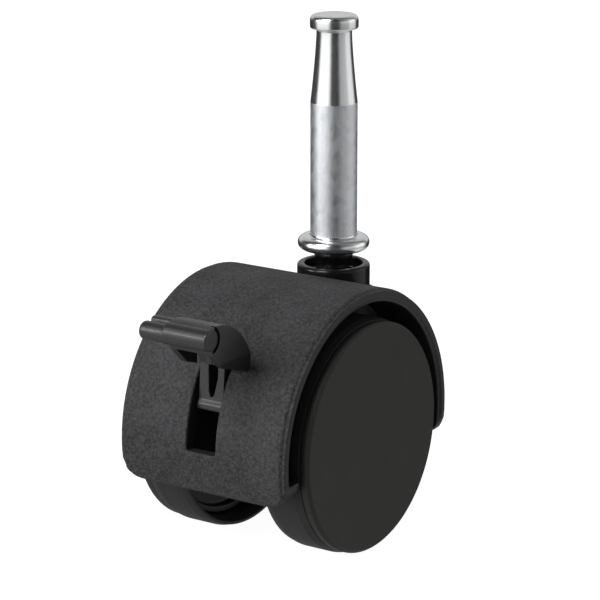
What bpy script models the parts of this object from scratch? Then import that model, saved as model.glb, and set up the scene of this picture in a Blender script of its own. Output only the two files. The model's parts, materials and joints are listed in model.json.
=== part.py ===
"""Hooded twin-wheel chair caster with a grip-neck stem and a brake lever.

Row frame: metres, +Z up the stem, +X along the wheel axle, -Y towards the brake lever.
The origin is on the swivel axis, in the plane of the stem's shoulder.
Lengths below are written in millimetres and scaled by MM.
"""
from math import cos, pi, radians, sin

import bmesh
import bpy
from mathutils import Vector

MM = 0.001

# Driving dimensions, in millimetres.
SHOULDER_HEIGHT = 49.45          # shoulder above the floor
WHEEL_RADIUS = 20.0              # nominal 40 mm wheel
AXLE_Y = -14.2                   # the axle trails the swivel axis
AXLE_Z = WHEEL_RADIUS - SHOULDER_HEIGHT
GAP = 0.3                        # between pieces that rest on each other

STEM_LENGTH = 38.1               # 1-1/2 in above the shoulder
STEM_R = 4.0                     # 5/16 in shaft
NECK_R = 3.0
HEAD_R = 4.1
FLANGE_R = 6.15
FLANGE_T = 2.3
JOURNAL_R = 2.8
JOURNAL_END = -16.6
RING_GROOVE_Z = -11.5

SOCKET_R = 6.25
SOCKET_TOP = -4.75
SOCKET_BOTTOM = -24.0
SOCKET_BORE_R = 3.1
BALL_R = 2.4
BALL_Z = -19.3

HOOD_R = 24.95
HOOD_WALL = 2.2
HOOD_HALF = 16.5
HOOD_EDGE_R = 0.7
HOOD_CUT_Z = 13.9 - SHOULDER_HEIGHT     # the lower edge is 13.9 above the floor
HOOD_CORNER_R = 4.0
LIP_INNER_R = 20.6               # the front end of the hood is thicker, towards the tyres
LIP_ANGLES = (-20.0, -6.0)       # degrees above the front horizontal
PLATE_IN = 3.2
PLATE_OUT = 5.0
BOSS_R = 7.7
BOSS_TOP = -9.65
BOSS_BOTTOM = -26.95
AXLE_BOSS_R = 5.2
AXLE_BOSS_X = 7.9

SLOT_HALF = 2.9
SLOT_ANGLES = (1.8, 44.0)        # degrees above the front horizontal

TYRE_R = 19.95
TYRE_IN_R = 18.5
TYRE_X = (8.0, 15.9)
RIM_R = 18.2
RIM_IN_R = 17.1
RIM_X = (11.6, 15.3)
WEB_X = (13.1, 14.7)
HUB_R = 5.5
HUB_X = (8.95, 14.8)
HUB_BORE_R = 2.62
TOOTH_TIP_R = 11.7
TOOTH_ROOT_R = 13.2
TOOTH_RING_R = 14.0
TOOTH_COUNT = 12
TOOTH_HALF = 6.4                 # degrees
TOOTH_X = (13.4, 9.6)
COVER_R = 19.6
COVER_FACE_R = 18.3
COVER_X = (16.2, 17.6)

AXLE_R = 2.5
AXLE_HALF = 15.9
CLIP_X = (15.1, 15.6)
WASHER_X = (8.15, 8.7)

ARM_HALF = 2.5
LEVER_RING_R = 5.4
PEDAL_X = (-5.5, 7.8)
PEDAL_BODY_X = -0.7
PEDAL_WALL = 1.25
BAR_R = 1.55
PEDAL_BAR = (-46.6, -6.75)       # centre of the round front bar, side view
LOCK_BAR_R = 1.5
LOCK_BAR_HALF = 12.6
LOCK_REST = 9.6                  # distance of the lock bar below the axle, brake off
LOCK_TRAVEL = 1.8
LEVER_TRAVEL = 15.0              # degrees
SPRING_POST = (14.5, 84.0)       # radius and angle about the axle
SPRING_POST_R = 1.0
DETENT_ANGLES = (86.0, 86.0 + LEVER_TRAVEL)
DETENT_R = 0.75

STEPS_LARGE = 48
STEPS_SMALL = 32


# ---------------------------------------------------------------- helpers
def collection(name):
    group = bpy.data.collections.new(name)
    bpy.context.scene.collection.children.link(group)
    return group


def material(name, color, roughness, metallic=0.0):
    mat = bpy.data.materials.new(name)
    mat.use_nodes = True
    shader = mat.node_tree.nodes["Principled BSDF"]
    shader.inputs["Base Color"].default_value = (*color, 1.0)
    shader.inputs["Roughness"].default_value = roughness
    shader.inputs["Metallic"].default_value = metallic
    return mat


def polar(radius, angle):
    """A point of the side view (Y, Z), in mm: angle in degrees up from the front of the axle."""
    turn = radians(angle)
    return (AXLE_Y - radius * cos(turn), AXLE_Z + radius * sin(turn))


def arc(centre, radius, start, end, count):
    """Points on a circle, angles in degrees from the first axis towards the second."""
    step = (end - start) / count
    turns = [radians(start + step * i) for i in range(count + 1)]
    return [(centre[0] + radius * cos(t), centre[1] + radius * sin(t)) for t in turns]


def sweep(radius, start, end, count):
    """Points about the axle in the side view."""
    return [polar(radius, start + (end - start) * i / count) for i in range(count + 1)]


def as_mesh(obj):
    """Turn a curve or a modified object into a plain closed mesh object."""
    graph = bpy.context.evaluated_depsgraph_get()
    mesh = bpy.data.meshes.new_from_object(obj.evaluated_get(graph))
    work = bmesh.new()
    work.from_mesh(mesh)
    bmesh.ops.remove_doubles(work, verts=work.verts, dist=0.002 * MM)
    work.to_mesh(mesh)
    work.free()
    solid = bpy.data.objects.new(obj.name + ".solid", mesh)
    solid.matrix_world = obj.matrix_world.copy()
    for group in obj.users_collection:
        group.objects.link(solid)
    name = obj.name
    bpy.data.objects.remove(obj)
    solid.name = name
    return solid


def turned(name, profile, steps, group, along="Z", closed=False):
    """A turned solid: (radius, height) points that run down the outer side."""
    mesh = bpy.data.meshes.new(name)
    points = [(r * MM, 0.0, h * MM) for r, h in profile]
    edges = [(i, i + 1) for i in range(len(points) - 1)]
    if closed:
        edges.append((len(points) - 1, 0))
    mesh.from_pydata(points, edges, [])
    obj = bpy.data.objects.new(name, mesh)
    group.objects.link(obj)
    if along == "X":
        obj.rotation_euler = (0.0, pi / 2, 0.0)
        obj.location = (0.0, AXLE_Y * MM, AXLE_Z * MM)
    screw = obj.modifiers.new("Turn", "SCREW")
    screw.steps = steps
    screw.render_steps = steps
    screw.use_merge_vertices = True
    screw.merge_threshold = 0.00001
    bpy.context.view_layer.update()
    return as_mesh(obj)


def plate(name, outline, low, high, group, view="side"):
    """An outline of the side view (Y, Z) or the front view (X, Z), made solid."""
    curve = bpy.data.curves.new(name, "CURVE")
    curve.dimensions = "2D"
    curve.fill_mode = "BOTH"
    curve.extrude = (high - low) / 2 * MM
    spline = curve.splines.new("POLY")
    spline.points.add(len(outline) - 1)
    for point, (a, b) in zip(spline.points, outline):
        point.co = (a * MM, b * MM, 0.0, 1.0)
    spline.use_cyclic_u = True
    obj = bpy.data.objects.new(name, curve)
    middle = (low + high) / 2 * MM
    if view == "side":
        obj.rotation_euler = (pi / 2, 0.0, pi / 2)
        obj.location = (middle, 0.0, 0.0)
    else:
        obj.rotation_euler = (pi / 2, 0.0, 0.0)
        obj.location = (0.0, middle, 0.0)
    group.objects.link(obj)
    bpy.context.view_layer.update()
    return as_mesh(obj)


def combine(obj, other, operation):
    """Apply one Boolean step; the other object is used up."""
    other.display_type = "WIRE"
    other.hide_render = True
    step = obj.modifiers.new(operation.title(), "BOOLEAN")
    step.operation = operation
    step.solver = "EXACT"
    step.object = other
    bpy.context.view_layer.update()
    result = as_mesh(obj)
    bpy.data.objects.remove(other)
    return result


def finish(obj, mat, origin=(0.0, 0.0, 0.0)):
    """Material, smooth shading with crisp corners, and the origin on the piece's own axis."""
    mesh = obj.data
    world = obj.matrix_world.copy()
    target = Vector(origin) * MM
    mesh.transform(world)
    mesh.transform(world.Translation(-target))
    obj.matrix_world = world.Translation(target)
    mesh.materials.clear()
    mesh.materials.append(mat)
    mesh.shade_smooth()
    mesh.set_sharp_from_angle(angle=radians(35))
    return obj


def mirrored(profile):
    """The same turned profile for the left wheel: heights change sign and the order turns round."""
    return [(r, -h) for r, h in reversed(profile)]


# ---------------------------------------------------------------- stem
def make_stem(parts, mats):
    head = [(0.0, STEM_LENGTH), (3.15, STEM_LENGTH)]
    head += arc((HEAD_R - 0.8, STEM_LENGTH - 0.95), 0.8, 60, 0, 3)
    head += [(HEAD_R, 36.1), (HEAD_R - 0.25, 35.8), (NECK_R + 0.15, 35.55), (NECK_R, 35.2)]
    neck = [(3.165, 32.1), (3.435, 28.6), (3.785, 25.0), (STEM_R, 23.2)]
    shaft = [(STEM_R, 0.45), (STEM_R + 0.12, 0.12), (STEM_R + 0.42, 0.0)]
    edge_r = FLANGE_T / 2
    flange = arc((FLANGE_R - edge_r, -edge_r), edge_r, 90, -90, 8)
    journal = [(3.6, -FLANGE_T), (JOURNAL_R, -5.2), (JOURNAL_R, RING_GROOVE_Z + 0.85)]
    journal += [(2.2, RING_GROOVE_Z + 0.85), (2.2, RING_GROOVE_Z - 0.85)]
    journal += [(JOURNAL_R, RING_GROOVE_Z - 0.85), (JOURNAL_R, JOURNAL_END + 0.8)]
    journal += [(2.0, JOURNAL_END), (0.0, JOURNAL_END)]
    stem = turned("stem", head + neck + shaft + flange + journal, STEPS_SMALL, parts)
    finish(stem, mats["steel"])


def make_snap_ring(parts, mats):
    curve = bpy.data.curves.new("stem_snap_ring", "CURVE")
    curve.dimensions = "3D"
    curve.bevel_depth = 0.5 * MM
    curve.bevel_resolution = 2
    curve.use_fill_caps = True
    points = arc((0.0, 0.0), 3.05, 110, 430, 20)
    spline = curve.splines.new("POLY")
    spline.points.add(len(points) - 1)
    for point, (x, y) in zip(spline.points, points):
        point.co = (x * MM, y * MM, RING_GROOVE_Z * MM, 1.0)
    obj = bpy.data.objects.new("stem_snap_ring", curve)
    parts.objects.link(obj)
    bpy.context.view_layer.update()
    finish(as_mesh(obj), mats["spring_steel"])


def make_socket(parts, mats):
    outer = arc((SOCKET_R - 0.4, SOCKET_TOP - 0.4), 0.4, 90, 0, 3)
    outer += [(SOCKET_R, SOCKET_BOTTOM + 0.5), (SOCKET_R - 0.5, SOCKET_BOTTOM), (0.0, SOCKET_BOTTOM)]
    seat = BALL_Z - BALL_R - GAP
    groove = 1.0
    inner = [(0.0, seat), (1.6, seat), (BALL_R + GAP, BALL_Z), (SOCKET_BORE_R, BALL_Z + 1.2)]
    inner += [(SOCKET_BORE_R, RING_GROOVE_Z - groove), (3.95, RING_GROOVE_Z - groove)]
    inner += [(3.95, RING_GROOVE_Z + groove), (SOCKET_BORE_R, RING_GROOVE_Z + groove)]
    inner += [(SOCKET_BORE_R, SOCKET_TOP - 2.4), (4.9, SOCKET_TOP - 1.9), (5.0, SOCKET_TOP - 0.15)]
    inner += [(5.15, SOCKET_TOP)]
    profile = inner + outer
    socket = turned("stem_socket", profile, STEPS_SMALL, parts)
    finish(socket, mats["gloss_black"])


def make_ball(parts, mats):
    mesh = bpy.data.meshes.new("thrust_ball")
    work = bmesh.new()
    bmesh.ops.create_uvsphere(work, u_segments=20, v_segments=12, radius=BALL_R * MM)
    work.to_mesh(mesh)
    work.free()
    ball = bpy.data.objects.new("thrust_ball", mesh)
    ball.location = (0.0, 0.0, BALL_Z * MM)
    parts.objects.link(ball)
    bpy.context.view_layer.update()
    finish(ball, mats["steel"], (0.0, 0.0, BALL_Z))


# ---------------------------------------------------------------- hood
def make_hood(parts, cutters, mats):
    inner_r = HOOD_R - HOOD_WALL
    edge = arc((HOOD_R - HOOD_EDGE_R, HOOD_HALF - HOOD_EDGE_R), HOOD_EDGE_R, 90, 0, 4)
    loop = edge + [(r, -h) for r, h in reversed(edge)]
    loop += [(inner_r, -HOOD_HALF), (inner_r, HOOD_HALF)]
    hood = turned("hood", loop, 64, parts, along="X", closed=True)

    low, high = LIP_ANGLES
    band = sweep(LIP_INNER_R, low, high, 3) + list(reversed(sweep(inner_r + 0.8, low, high, 3)))
    hood = combine(hood, plate("lip", band, -HOOD_HALF + 0.01, HOOD_HALF - 0.01, cutters), "UNION")

    corner_x = HOOD_HALF - HOOD_CORNER_R
    side = arc((corner_x, HOOD_CUT_Z + HOOD_CORNER_R), HOOD_CORNER_R, -90, 0, 6)
    below = HOOD_CUT_Z - 20.0
    right = [(20.0, below)] + [(20.0, HOOD_CUT_Z + HOOD_CORNER_R)] + list(reversed(side))
    outline = right + [(-x, z) for x, z in reversed(right)]
    cut = plate("bottom_cut", outline, AXLE_Y - 30.0, AXLE_Y + 30.0, cutters, view="front")
    hood = combine(hood, cut, "DIFFERENCE")

    wall = sweep(inner_r + 1.1, -9.0, 189.0, 40)
    wall += sweep(14.6, 212.0, 328.0, 14)
    for name, low, high in (("left_wall", -PLATE_OUT, -PLATE_IN), ("right_wall", PLATE_IN, PLATE_OUT)):
        hood = combine(hood, plate(name, wall, low, high, cutters), "UNION")
    for name, sign in (("left_boss", -1), ("right_boss", 1)):
        near = PLATE_IN + 0.6
        ring = [(AXLE_BOSS_R, AXLE_BOSS_X), (AXLE_BOSS_R, near), (0.0, near)]
        ring = [(0.0, AXLE_BOSS_X)] + ring
        if sign < 0:
            ring = mirrored(ring)
        hood = combine(hood, turned(name, ring, 24, cutters, along="X"), "UNION")
    post = [(0.0, BOSS_TOP), (BOSS_R - 0.5, BOSS_TOP), (BOSS_R, BOSS_TOP - 0.5)]
    post += [(BOSS_R, BOSS_BOTTOM), (0.0, BOSS_BOTTOM)]
    hood = combine(hood, turned("stem_boss", post, STEPS_LARGE, cutters), "UNION")

    bore = [(0.0, 5.0), (SOCKET_R + GAP, 5.0), (SOCKET_R + GAP, SOCKET_BOTTOM - GAP)]
    bore += [(0.0, SOCKET_BOTTOM - GAP)]
    hood = combine(hood, turned("socket_bore", bore, STEPS_LARGE, cutters), "DIFFERENCE")
    hole = [(0.0, 12.0), (HUB_BORE_R, 12.0), (HUB_BORE_R, -12.0), (0.0, -12.0)]
    hood = combine(hood, turned("axle_hole", hole, 24, cutters, along="X"), "DIFFERENCE")
    low, high = SLOT_ANGLES
    slot = sweep(inner_r - 2.0, low, high, 10) + list(reversed(sweep(HOOD_R + 3.0, low, high, 10)))
    hood = combine(hood, plate("slot", slot, -SLOT_HALF, SLOT_HALF, cutters), "DIFFERENCE")
    reach = LOCK_BAR_R + GAP
    top = (AXLE_Y, AXLE_Z - LOCK_REST)
    end = (AXLE_Y, AXLE_Z - LOCK_REST - LOCK_TRAVEL)
    guide = arc(top, reach, 0, 180, 8) + arc(end, reach, 180, 360, 8)
    hood = combine(hood, plate("bar_guide", guide, -8.0, 8.0, cutters), "DIFFERENCE")
    pin = arc(polar(*SPRING_POST), SPRING_POST_R + 0.05, 0, 330, 11)
    hood = combine(hood, plate("pin_hole", pin, -8.0, 8.0, cutters), "DIFFERENCE")
    finish(hood, mats["hood_black"], (0.0, AXLE_Y, AXLE_Z))


# ---------------------------------------------------------------- wheels
def make_wheel(side, parts, cutters, mats):
    """side is +1 for the right wheel and -1 for the left."""
    name = "right" if side > 0 else "left"
    centre = (0.0, AXLE_Y, AXLE_Z)

    def ring(node, profile, mat, closed=True):
        shape = profile if side > 0 else mirrored(profile)
        return finish(turned(node + "_" + name, shape, STEPS_LARGE, parts, "X", closed), mat, centre)

    low, high = TYRE_X
    tread = [(TYRE_IN_R, high), (TYRE_R - 0.55, high), (TYRE_R - 0.15, high - 0.35)]
    tread += [(TYRE_R, high - 1.6), (TYRE_R, low + 1.6), (TYRE_R - 0.15, low + 0.5)]
    tread += [(TYRE_R - 0.6, low), (TYRE_IN_R, low)]
    ring("tyre", tread, mats["tread_black"])

    shape = [(HUB_BORE_R, HUB_X[1]), (HUB_R, HUB_X[1]), (HUB_R, WEB_X[1]), (RIM_IN_R, WEB_X[1])]
    shape += [(RIM_IN_R, RIM_X[1]), (RIM_R, RIM_X[1]), (RIM_R, RIM_X[0]), (RIM_IN_R, RIM_X[0])]
    shape += [(RIM_IN_R, WEB_X[0]), (HUB_R, WEB_X[0]), (HUB_R, HUB_X[0]), (HUB_BORE_R, HUB_X[0])]
    core = ring("wheel_core", shape, mats["core_black"])
    outer, inner = TOOTH_X
    band = [(TOOTH_ROOT_R, outer), (TOOTH_RING_R, outer), (TOOTH_RING_R, inner), (TOOTH_ROOT_R, inner)]
    band = band if side > 0 else mirrored(band)
    teeth = turned("teeth", band, STEPS_LARGE, cutters, "X", True)
    pitch = 360.0 / TOOTH_COUNT
    span = sorted((side * inner, side * outer))
    for index in range(TOOTH_COUNT):
        middle = -90.0 + pitch * (index + 0.5)
        tooth = sweep(TOOTH_TIP_R, middle - TOOTH_HALF, middle + TOOTH_HALF, 2)
        tooth += reversed(sweep(TOOTH_ROOT_R + 0.4, middle - TOOTH_HALF, middle + TOOTH_HALF, 2))
        teeth = combine(teeth, plate("tooth", tooth, *span, cutters), "UNION")
    core = combine(core, teeth, "UNION")
    finish(core, mats["core_black"], centre)

    face, back = COVER_X[1], COVER_X[0]
    cover = [(0.0, face), (COVER_FACE_R - 0.5, face), (COVER_FACE_R + 0.35, face - 0.1)]
    cover += [(COVER_R - 0.45, face - 0.45), (COVER_R, face - 0.95), (COVER_R - 0.1, back)]
    cover += [(15.5, back), (15.5, back - 1.1), (14.5, back - 1.1), (14.5, back + 0.1), (0.0, back + 0.1)]
    ring("wheel_cover", cover, mats["cover_black"], closed=False)

    clip = [(2.35, CLIP_X[1]), (4.4, CLIP_X[1]), (4.4, CLIP_X[0]), (2.35, CLIP_X[0])]
    ring("axle_clip", clip, mats["spring_steel"])
    washer = [(2.7, WASHER_X[1]), (5.0, WASHER_X[1]), (5.0, WASHER_X[0]), (2.7, WASHER_X[0])]
    ring("thrust_washer", washer, mats["white_nylon"])


def make_axle(parts, mats):
    half = [(0.0, AXLE_HALF), (1.7, AXLE_HALF), (2.1, AXLE_HALF - 0.1), (2.1, CLIP_X[0] - 0.1)]
    half += [(AXLE_R, CLIP_X[0] - 0.1)]
    profile = half + mirrored(half)
    finish(turned("axle", profile, 24, parts, "X"), mats["steel"], (0.0, AXLE_Y, AXLE_Z))


# ---------------------------------------------------------------- brake
def make_lever(parts, cutters, mats):
    low, high = PEDAL_X
    bar_centre = PEDAL_BAR
    bar = arc(bar_centre, BAR_R, 0, 345, 23)
    lever = plate("brake_lever", bar, low, high, parts)

    fin = [(-46.0, -5.45), (-44.9, -4.55), (-43.2, -4.65), (-40.6, -5.6), (-38.2, -7.4)]
    fin += [(-36.4, -9.7), (-35.2, -12.0), (-34.5, -14.2), (-35.0, -14.6), (-43.1, -12.0)]
    fin += [(-46.0, -9.2)]
    lever = combine(lever, plate("pedal_body", fin, PEDAL_BODY_X, high - 0.02, cutters), "UNION")
    hollow = [(-46.4, -9.6), (-45.0, -8.3), (-44.2, -6.9), (-43.2, -6.15), (-41.1, -7.0)]
    hollow += [(-39.0, -8.6), (-37.4, -10.6), (-36.4, -12.9), (-36.2, -16.0), (-46.4, -16.0)]
    inside = (PEDAL_BODY_X + PEDAL_WALL, high - PEDAL_WALL)
    lever = combine(lever, plate("pedal_hollow", hollow, *inside, cutters), "DIFFERENCE")
    rear = [(-40.3, -7.7), (-39.1, -8.7), (-37.5, -10.7), (-36.5, -12.95), (-36.3, -16.0), (-40.3, -16.0)]
    left_wall = (PEDAL_BODY_X - 0.5, inside[0] + 0.2)
    lever = combine(lever, plate("wall_end", rear, *left_wall, cutters), "DIFFERENCE")
    wing = [(-46.2, -5.75), (-44.9, -4.9), (-43.4, -4.95), (-43.4, -6.2), (-45.8, -7.6)]
    lever = combine(lever, plate("pedal_wing", wing, low + 0.02, PEDAL_BODY_X + 0.5, cutters), "UNION")

    arm = [polar(4.0, 18.0), (-36.0, -22.1), (-36.1, -20.0), (-35.5, -14.3), (-36.6, -12.0)]
    arm += [(-38.3, -8.4), (-37.2, -9.9), polar(25.4, 39.5), polar(22.0, 40.5), polar(4.0, 60.0)]
    lever = combine(lever, plate("lever_arm", arm, -ARM_HALF, ARM_HALF, cutters), "UNION")
    tail = [polar(4.0, -60.0)] + sweep(13.4, -64.0, -116.0, 8) + [polar(4.0, -120.0)]
    lever = combine(lever, plate("lever_tail", tail, -ARM_HALF, ARM_HALF, cutters), "UNION")
    ring = [(0.0, ARM_HALF), (LEVER_RING_R, ARM_HALF), (LEVER_RING_R, -ARM_HALF), (0.0, -ARM_HALF)]
    lever = combine(lever, turned("lever_ring", ring, 32, cutters, "X"), "UNION")
    hole = [(0.0, 5.0), (HUB_BORE_R, 5.0), (HUB_BORE_R, -5.0), (0.0, -5.0)]
    lever = combine(lever, turned("lever_bore", hole, 24, cutters, "X"), "DIFFERENCE")

    reach = LOCK_BAR_R + GAP
    rest = polar(LOCK_REST, -90.0)
    locked = polar(LOCK_REST + LOCK_TRAVEL, -90.0 + LEVER_TRAVEL)
    run = Vector((locked[0] - rest[0], locked[1] - rest[1]))
    lean = Vector((1.0, 0.0)).angle_signed(run) * -180.0 / pi
    ramp = arc(rest, reach, lean + 90, lean + 270, 8) + arc(locked, reach, lean - 90, lean + 90, 8)
    lever = combine(lever, plate("cam_slot", ramp, -4.0, 4.0, cutters), "DIFFERENCE")
    for angle in DETENT_ANGLES:
        notch = arc(polar(LEVER_RING_R + 0.25, angle), DETENT_R, 0, 330, 11)
        lever = combine(lever, plate("detent", notch, -4.0, 4.0, cutters), "DIFFERENCE")
    finish(lever, mats["lever_black"], (0.0, AXLE_Y, AXLE_Z))


def make_lock_bar(parts, mats):
    chamfer = 0.3
    half = [(0.0, LOCK_BAR_HALF), (LOCK_BAR_R - chamfer, LOCK_BAR_HALF)]
    half += [(LOCK_BAR_R, LOCK_BAR_HALF - chamfer)]
    bar = turned("lock_bar", half + mirrored(half), 20, parts, "X")
    bar.location.z -= LOCK_REST * MM
    bpy.context.view_layer.update()
    finish(bar, mats["steel"], (0.0, AXLE_Y, AXLE_Z - LOCK_REST))


def make_detent_spring(parts, mats):
    """A hairpin of round wire: hooked over its post, with its free end in the lever's detent."""
    wire_r = 0.35
    post = polar(*SPRING_POST)
    wrap_r = SPRING_POST_R + wire_r + GAP
    wrap = arc(post, wrap_r, -20, 200, 10)
    tip = polar(LEVER_RING_R + 0.35, DETENT_ANGLES[0])
    free = [(tip[0] + 1.4, tip[1] + 1.1), (tip[0] + 0.55, tip[1] + 0.25), tip]
    free += [(tip[0] - 0.55, tip[1] + 0.25), (tip[0] - 1.1, tip[1] + 1.4)]
    route = free + [(post[0] - wrap_r, post[1] - 1.2)] + list(reversed(wrap))
    route += [(post[0] + wrap_r + 0.6, post[1] - 2.2)]
    curve = bpy.data.curves.new("detent_spring", "CURVE")
    curve.dimensions = "3D"
    curve.bevel_depth = wire_r * MM
    curve.bevel_resolution = 2
    curve.use_fill_caps = True
    spline = curve.splines.new("POLY")
    spline.points.add(len(route) - 1)
    for point, (y, z) in zip(spline.points, route):
        point.co = (0.0, y * MM, z * MM, 1.0)
    obj = bpy.data.objects.new("detent_spring", curve)
    parts.objects.link(obj)
    bpy.context.view_layer.update()
    finish(as_mesh(obj), mats["spring_steel"])


def make_spring_pin(parts, mats):
    outline = arc(polar(*SPRING_POST), SPRING_POST_R, 0, 330, 11)
    pin = plate("spring_pin", outline, -PLATE_OUT, PLATE_OUT, parts)
    finish(pin, mats["steel"])


# ---------------------------------------------------------------- the caster
def main():
    for obj in list(bpy.data.objects):
        bpy.data.objects.remove(obj)
    parts = collection("chair_caster")
    cutters = collection("cutters")
    mats = {
        "steel": material("bright_zinc", (0.72, 0.73, 0.75), 0.25, 1.0),
        "spring_steel": material("spring_steel", (0.42, 0.42, 0.43), 0.35, 1.0),
        "gloss_black": material("gloss_black", (0.012, 0.012, 0.013), 0.15),
        "hood_black": material("hood_black", (0.055, 0.055, 0.058), 0.6),
        "cover_black": material("cover_black", (0.042, 0.042, 0.04), 0.5),
        "tread_black": material("tread_black", (0.035, 0.035, 0.035), 0.6),
        "core_black": material("core_black", (0.02, 0.02, 0.02), 0.5),
        "lever_black": material("lever_black", (0.04, 0.04, 0.042), 0.4),
        "white_nylon": material("white_nylon", (0.75, 0.74, 0.7), 0.5),
    }
    make_stem(parts, mats)
    make_snap_ring(parts, mats)
    make_socket(parts, mats)
    make_ball(parts, mats)
    make_hood(parts, cutters, mats)
    for side in (1, -1):
        make_wheel(side, parts, cutters, mats)
    make_axle(parts, mats)
    make_lever(parts, cutters, mats)
    make_lock_bar(parts, mats)
    make_detent_spring(parts, mats)
    make_spring_pin(parts, mats)


main()
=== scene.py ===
import json
from math import atan2, cos, pi, radians, sin

import bmesh
import bpy
from mathutils import Matrix, Vector


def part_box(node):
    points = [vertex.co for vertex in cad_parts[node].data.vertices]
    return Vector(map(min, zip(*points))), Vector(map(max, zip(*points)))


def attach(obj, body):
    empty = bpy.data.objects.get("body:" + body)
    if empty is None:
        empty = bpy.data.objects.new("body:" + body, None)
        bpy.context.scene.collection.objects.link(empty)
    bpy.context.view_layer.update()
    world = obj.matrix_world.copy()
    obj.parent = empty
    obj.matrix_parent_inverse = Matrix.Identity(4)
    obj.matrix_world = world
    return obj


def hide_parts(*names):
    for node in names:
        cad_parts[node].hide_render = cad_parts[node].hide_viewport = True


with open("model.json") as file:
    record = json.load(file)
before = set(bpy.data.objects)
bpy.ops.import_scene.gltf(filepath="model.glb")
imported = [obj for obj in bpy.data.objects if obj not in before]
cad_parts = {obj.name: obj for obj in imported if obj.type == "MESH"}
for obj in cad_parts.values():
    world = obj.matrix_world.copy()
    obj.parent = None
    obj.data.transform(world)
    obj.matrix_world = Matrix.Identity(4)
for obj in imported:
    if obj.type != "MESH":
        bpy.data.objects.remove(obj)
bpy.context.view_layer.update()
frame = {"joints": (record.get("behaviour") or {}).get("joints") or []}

MM = 0.001

# ---------------------------------------------------------------- sizes taken from the frame
JOINTS = {joint["name"]: joint for joint in frame["joints"]}
AXLE = Vector(JOINTS["wheel_right_spin"]["pos_m"]) / MM
LEVER_TRAVEL = JOINTS["brake_lever_turn"]["range_deg"][1]
LOCK_TRAVEL = JOINTS["lock_bar_slide"]["range_m"][1] / MM


def box_mm(node):
    low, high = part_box(node)
    return low / MM, high / MM


STEM_LOW, STEM_HIGH = box_mm("stem")
SOCKET_LOW, SOCKET_HIGH = box_mm("stem_socket")
HOOD_LOW, HOOD_HIGH = box_mm("hood")
TYRE_LOW, TYRE_HIGH = box_mm("tyre_right")
CORE_LOW, CORE_HIGH = box_mm("wheel_core_right")
COVER_LOW, COVER_HIGH = box_mm("wheel_cover_right")
LEVER_LOW, LEVER_HIGH = box_mm("brake_lever")
BAR_LOW, BAR_HIGH = box_mm("lock_bar")
AXLE_END = box_mm("axle")[1].x

TIP = STEM_HIGH.z
FLANGE_R = STEM_HIGH.x
SOCKET_R = SOCKET_HIGH.x
HOOD_R = AXLE.y - HOOD_LOW.y
HOOD_HALF = HOOD_HIGH.x
TYRE_R = TYRE_HIGH.z - AXLE.z
COVER_R = COVER_HIGH.z - AXLE.z
CORE_R = CORE_HIGH.z - AXLE.z
LOCK_BAR_R = (BAR_HIGH.z - BAR_LOW.z) / 2
LOCK_BAR_Z = (BAR_HIGH.z + BAR_LOW.z) / 2
FLOOR_Z = TYRE_LOW.z

# ---------------------------------------------------------------- sizes of the fine shapes, in mm
SHAFT_R = 4.0
NECK_R = 3.0
HEAD_R = 4.1
NECK_TOP = 35.2
NECK_FOOT = 23.2                 # height where the polished taper ends
FLANGE_T = 2.3
RING_GROOVE_Z = -11.5
JOURNAL_R = 2.8
HOOD_WALL = 2.2
PLATE_IN, PLATE_OUT = 3.2, 5.0
SLOT_HALF = 2.9
SLOT_ANGLES = (1.8, 44.0)
HOOD_BOTTOM = -35.55             # the hood's lower edge, 13.9 above the floor
LIP_INNER_R = 20.6               # the front end of the hood is thicker, towards the tyres
LIP_ANGLES = (-20.0, -6.0)
HOOD_CORNER_R = 4.0
BOSS_R = 7.7                     # round boss that holds the stem's sleeve
BOSS_TOP, BOSS_BOTTOM = -9.65, -26.95
AXLE_BOSS_R, AXLE_BOSS_X = 5.2, 7.9
AXLE_R, AXLE_GROOVE_R = 2.5, 2.1
AXLE_BORE_R = 2.62
HUB_R, HUB_END = 5.5, 14.8       # wheel core: hub, web, rim and the ring of notches
WEB_X = (13.1, 14.7)
RIM_X = (11.6, 15.3)
RIM_IN_R = 17.1
TOOTH_TIP_R, TOOTH_ROOT_R, TOOTH_RING_R = 11.7, 13.2, 14.0
TOOTH_X = (9.6, 13.4)
TOOTH_COUNT = 12
COVER_RIB_R = (14.5, 15.5)       # ring behind the cover that clips into the core
ARM_HALF = 2.5
NOSE = (-46.6, -6.75)            # centre of the lever's round front bar in the side view
NOSE_R = 1.55
THICK_NOSE = (-46.4, -6.6)       # the bar is thicker along the body of the pedal
THICK_R = 1.74
BODY_X = -0.7                    # where the hollow body of the pedal starts
PEDAL_WALL = 1.25
LOCK_REST = 9.6
SPRING_POST = (14.5, 84.0)
SPRING_POST_R = 1.0
RING_R = 5.4
DETENT_ANGLES = (86.0, 86.0 + LEVER_TRAVEL)

ROUND = 160                      # steps of a large turned piece
SMALL_ROUND = 64


# ---------------------------------------------------------------- mesh helpers
def polar(radius, angle):
    """A point of the side view (Y, Z): angle in degrees up from the front of the axle."""
    turn = radians(angle)
    return (AXLE.y - radius * cos(turn), AXLE.z + radius * sin(turn))


def sweep(radius, start, end, count):
    """Points about the axle in the side view."""
    return [polar(radius, start + (end - start) * i / count) for i in range(count + 1)]


def arc(centre, radius, start, end, count):
    """Points on a circle, angles in degrees from the first axis towards the second."""
    turns = [radians(start + (end - start) * i / count) for i in range(count + 1)]
    return [(centre[0] + radius * cos(t), centre[1] + radius * sin(t)) for t in turns]


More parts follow.
